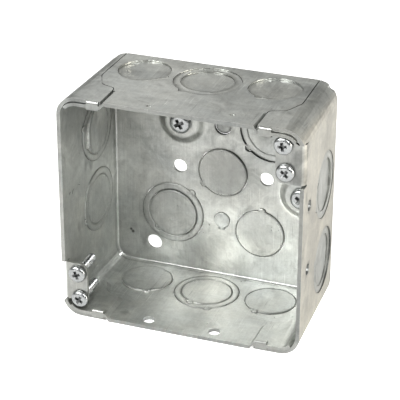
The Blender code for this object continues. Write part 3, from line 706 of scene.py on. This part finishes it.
# ---------------------------------------------------------------- screws
COVER_SHANK, COVER_HEAD_HEIGHT, COVER_SPINS = 4.1 * MM, 1.9 * MM, (62, 20, 8, 50)
GROUND_SHANK, GROUND_HEAD_HEIGHT, GROUND_SPINS = 4.7 * MM, 2.3 * MM, (30, 55)
THREAD_PITCH, UNDER_HEAD, POINT_TAPER = 0.8 * MM, 0.5 * MM, 0.9 * MM
AROUND = 40
HEAD_RIM, HEAD_CROWN = 0.30, 0.70  # shares of the head's height
# The cross recess, as shares of the head's width: half length and half width of a bar
RECESS_FOOT, RECESS_MOUTH = (0.10, 0.045), (0.31, 0.095)
RECESS_DEPTH, RECESS_CLEAR = 1.25 * MM, 0.6 * MM


def thread(length, shank):
    """Rows of a helical thread from under the head down to a chamfered point."""
    per_pitch = 8
    depth = 0.384 * THREAD_PITCH
    count = int(length / THREAD_PITCH * per_pitch)
    rows = []
    for k in range(count + 1):
        z = -length * k / count
        taper = min(1.0, (length + z) / POINT_TAPER)
        row = []
        for i in range(AROUND):
            turn = math.tau * i / AROUND
            phase = (z / THREAD_PITCH - i / AROUND) % 1.0
            crest = 1 - abs(2 * phase - 1)
            cut = depth * (1 - min(1.0, crest * 1.25))
            if -z < UNDER_HEAD:
                cut *= max(0.0, -z / UNDER_HEAD)
            radius = (shank / 2 - cut) * (0.72 + 0.28 * taper)
            row.append((radius * math.cos(turn), radius * math.sin(turn), z))
        rows.append(row)
    return rows


def screw_mesh(name, head, head_height, shank, length):
    """A threaded shank with a round head."""
    shape = bmesh.new()
    chamfer = 0.12 * MM
    profile = [(shank / 2 + 0.15 * MM, 0.0), (head / 2 - chamfer, 0.0), (head / 2, chamfer),
               (head / 2, HEAD_RIM * head_height)]
    for step in range(1, 9):
        angle = math.pi / 2 * step / 8
        profile.append((head * (0.26 + 0.24 * math.cos(angle)),
                        HEAD_RIM * head_height + HEAD_CROWN * head_height * math.sin(angle)))
    profile += [(head * 0.20, head_height * 1.01), (head * 0.08, head_height * 1.015)]
    rows = thread(length, shank)[::-1]
    turns = [math.tau * i / AROUND for i in range(AROUND)]
    for radius, z in profile:
        rows.append([(radius * math.cos(turn), radius * math.sin(turn), z) for turn in turns])
    verts = [[shape.verts.new(point) for point in row] for row in rows]
    for first, second in zip(verts, verts[1:]):
        for i in range(AROUND):
            j = (i + 1) % AROUND
            shape.faces.new((first[i], first[j], second[j], second[i]))
    shape.faces.new(verts[0])
    shape.faces.new(verts[-1])
    bmesh.ops.recalc_face_normals(shape, faces=shape.faces)
    mesh = bpy.data.meshes.new(name)
    shape.to_mesh(mesh)
    shape.free()
    return mesh


def recess_cutter(head, head_height, spin):
    """A cross with narrowing arms and a pointed middle."""
    shape = bmesh.new()
    corners = ((-1, -1), (1, -1), (1, 1), (-1, 1))
    ends = ((head_height - RECESS_DEPTH, *RECESS_FOOT), (head_height + RECESS_CLEAR, *RECESS_MOUTH))
    for quarter in (0, 1):
        turn = Matrix.Rotation(spin + quarter * math.pi / 2, 4, "Z")
        sections = []
        for z, half_long, half_wide in ends:
            long, wide = half_long * head, half_wide * head
            sections.append([turn @ Vector((x * long, y * wide, z)) for x, y in corners])
        low = [shape.verts.new(point) for point in sections[0]]
        high = [shape.verts.new(point) for point in sections[1]]
        shape.faces.new(low)
        shape.faces.new(high)
        for i in range(4):
            j = (i + 1) % 4
            shape.faces.new((low[i], low[j], high[j], high[i]))
    bmesh.ops.recalc_face_normals(shape, faces=shape.faces)
    mesh = bpy.data.meshes.new("recess")
    shape.to_mesh(mesh)
    shape.free()
    return add_object("recess", mesh, RECESS)


def screw(node, spin, head_height, metal):
    """The looks of one screw: threaded, with the cross cut into its head."""
    low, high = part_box(node)
    head = high.x - low.x
    length = high.y - low.y - head_height
    shank = COVER_SHANK if node.startswith("cover") else GROUND_SHANK
    mesh = screw_mesh(node, head * 0.995, head_height, shank, length)
    thing = add_object(node + "_threaded", mesh, metal, RECESS)
    cutter = recess_cutter(head, head_height, math.radians(spin))
    cut = thing.modifiers.new("recess", "BOOLEAN")
    cut.object = cutter
    cut.solver = "EXACT"
    cut.use_self = True
    bpy.context.view_layer.update()
    result = bpy.data.meshes.new_from_object(thing.evaluated_get(bpy.context.evaluated_depsgraph_get()))
    thing.modifiers.clear()
    thing.data = result
    bpy.data.objects.remove(cutter)
    smooth(result, 40)
    round_edges(thing, 0.09 * MM, 2, 45)
    thing.rotation_euler = (math.pi / 2, 0, 0)
    thing.location = ((low.x + high.x) / 2, low.y + head_height, (low.z + high.z) / 2)
    stand_for(thing, node)


for number, spin in enumerate(COVER_SPINS, 1):
    screw(f"cover_screw_{number}", spin, COVER_HEAD_HEIGHT, ZINC)
for number, spin in enumerate(GROUND_SPINS, 1):
    screw(f"ground_screw_{number}", spin, GROUND_HEAD_HEIGHT, ZINC)


# ---------------------------------------------------------------- box
body = NODES["box_body"]
body.data.materials.clear()
body.data.materials.append(SHEET_METAL)
smooth(body.data)
round_edges(body, 0.28 * MM)


# ---------------------------------------------------------------- studio
FLOOR_REACH = 3.0
PAPER_WHITE, PAPER_GLOW, PAPER_GLOW_SEEN = (0.9, 0.9, 0.9, 1), 0.18, 0.9


def paper(name):
    """Pale paper that the camera sees as white and that throws soft light back on the box."""
    g = Graph(name)
    g.put(g.shader.inputs["Base Color"], PAPER_WHITE)
    g.put(g.shader.inputs["Roughness"], 0.8)
    g.put(g.shader.inputs["Emission Color"], (1, 1, 1, 1))
    seen = g.add("ShaderNodeLightPath").outputs["Is Camera Ray"]
    g.put(g.shader.inputs["Emission Strength"], g.spread(seen, 0, 1, PAPER_GLOW, PAPER_GLOW_SEEN))
    return g.material


def floor():
    """Sheet of paper under the box."""
    mesh = bpy.data.meshes.new("floor")
    corners = [(x * FLOOR_REACH, y * FLOOR_REACH, 0) for x, y in ((-1, -1), (1, -1), (1, 1), (-1, 1))]
    mesh.from_pydata(corners, [], [(0, 1, 2, 3)])
    add_object("floor", mesh, paper("floor_paper"))


# Soft lamps round the table: azimuth from the front towards the right, elevation, power and colour
LAMP_DISTANCE, LAMP_SIDE = 1.5, 0.6
LAMP_AIM = Vector((0, 0, 0.05))
WARM, NEUTRAL = (1.0, 0.955, 0.86), (1.0, 1.0, 0.985)
LAMPS = (
    ("right_low", 90, 10, 16.0, WARM),
    ("key_left", -40, 35, 11.0, NEUTRAL),
    ("key_front", -20, 35, 8.0, NEUTRAL),
    ("right_high", 50, 35, 9.5, NEUTRAL),
    ("back_left", -150, 35, 1.0, NEUTRAL),
    ("back_right", 148, 20, 0.35, NEUTRAL),
)


def softbox(name, azimuth, elevation, power, colour):
    """A square lamp that looks at the box from its own direction."""
    turn, tip = math.radians(azimuth), math.radians(elevation)
    way = Vector((math.sin(turn) * math.cos(tip), -math.cos(turn) * math.cos(tip), math.sin(tip)))
    light = bpy.data.lights.new(name, "AREA")
    light.color = colour
    light.shape = "RECTANGLE"
    light.size = light.size_y = LAMP_SIDE
    light.energy = power
    thing = bpy.data.objects.new(name, light)
    bpy.context.scene.collection.objects.link(thing)
    thing.location = LAMP_AIM + way * LAMP_DISTANCE
    thing.rotation_mode = "QUATERNION"
    thing.rotation_quaternion = (-way).to_track_quat("-Z", "Y")


# What the metal mirrors: dark before the box, pale behind it; the camera itself sees white
ROOM_FRONT = (0.02, 0.02, 0.02, 1.0)
ROOM_BACK = (0.31, 0.31, 0.295, 1.0)
ROOM_DEPTH = (-0.6, 0.8)
BACKDROP = (1.05, 1.05, 1.05, 1)


def surroundings():
    """White behind the object for the camera; a soft room for what the metal mirrors and for its light."""
    world = bpy.data.worlds.new("studio")
    bpy.context.scene.world = world
    world.use_nodes = True
    tree = world.node_tree
    room = tree.nodes["Background"]
    coordinates = tree.nodes.new("ShaderNodeTexCoord")
    axes = tree.nodes.new("ShaderNodeSeparateXYZ")
    tree.links.new(coordinates.outputs["Generated"], axes.inputs[0])
    depth = tree.nodes.new("ShaderNodeMapRange")
    depth.inputs["From Min"].default_value, depth.inputs["From Max"].default_value = ROOM_DEPTH
    tree.links.new(axes.outputs["Y"], depth.inputs["Value"])
    tone = tree.nodes.new("ShaderNodeValToRGB")
    tone.color_ramp.elements[0].color = ROOM_FRONT
    tone.color_ramp.elements[1].color = ROOM_BACK
    tree.links.new(depth.outputs["Result"], tone.inputs["Fac"])
    tree.links.new(tone.outputs["Color"], room.inputs["Color"])
    path = tree.nodes.new("ShaderNodeLightPath")
    mix = tree.nodes.new("ShaderNodeMixShader")
    white = tree.nodes.new("ShaderNodeBackground")
    white.inputs["Color"].default_value = BACKDROP
    tree.links.new(path.outputs["Is Camera Ray"], mix.inputs["Fac"])
    tree.links.new(room.outputs["Background"], mix.inputs[1])
    tree.links.new(white.outputs["Background"], mix.inputs[2])
    tree.links.new(mix.outputs["Shader"], tree.nodes["World Output"].inputs["Surface"])


# The camera's lens (mm), its place (m) and the way it is held
LENS, SENSOR = 154.1, 36.0
CAMERA_PLACE = Vector((0.21493, -0.59087, 0.36504))
CAMERA_RIGHT, CAMERA_UP = Vector((0.93927, 0.34318, 0.00215)), Vector((-0.15580, 0.42081, 0.89367))


def camera():
    """The camera in front of the box, a little to its right and above it."""
    data = bpy.data.cameras.new("camera")
    data.lens = LENS
    data.sensor_width = SENSOR
    data.clip_start = 0.01
    data.clip_end = 10.0
    thing = bpy.data.objects.new("camera", data)
    bpy.context.scene.collection.objects.link(thing)
    right, up = CAMERA_RIGHT.normalized(), CAMERA_UP.normalized()
    held = Matrix((right, up, right.cross(up))).transposed().to_4x4()
    thing.matrix_world = Matrix.Translation(CAMERA_PLACE) @ held
    bpy.context.scene.camera = thing


floor()
surroundings()
for lamp in LAMPS:
    softbox(*lamp)
camera()
bpy.context.scene.view_settings.view_transform = "Standard"
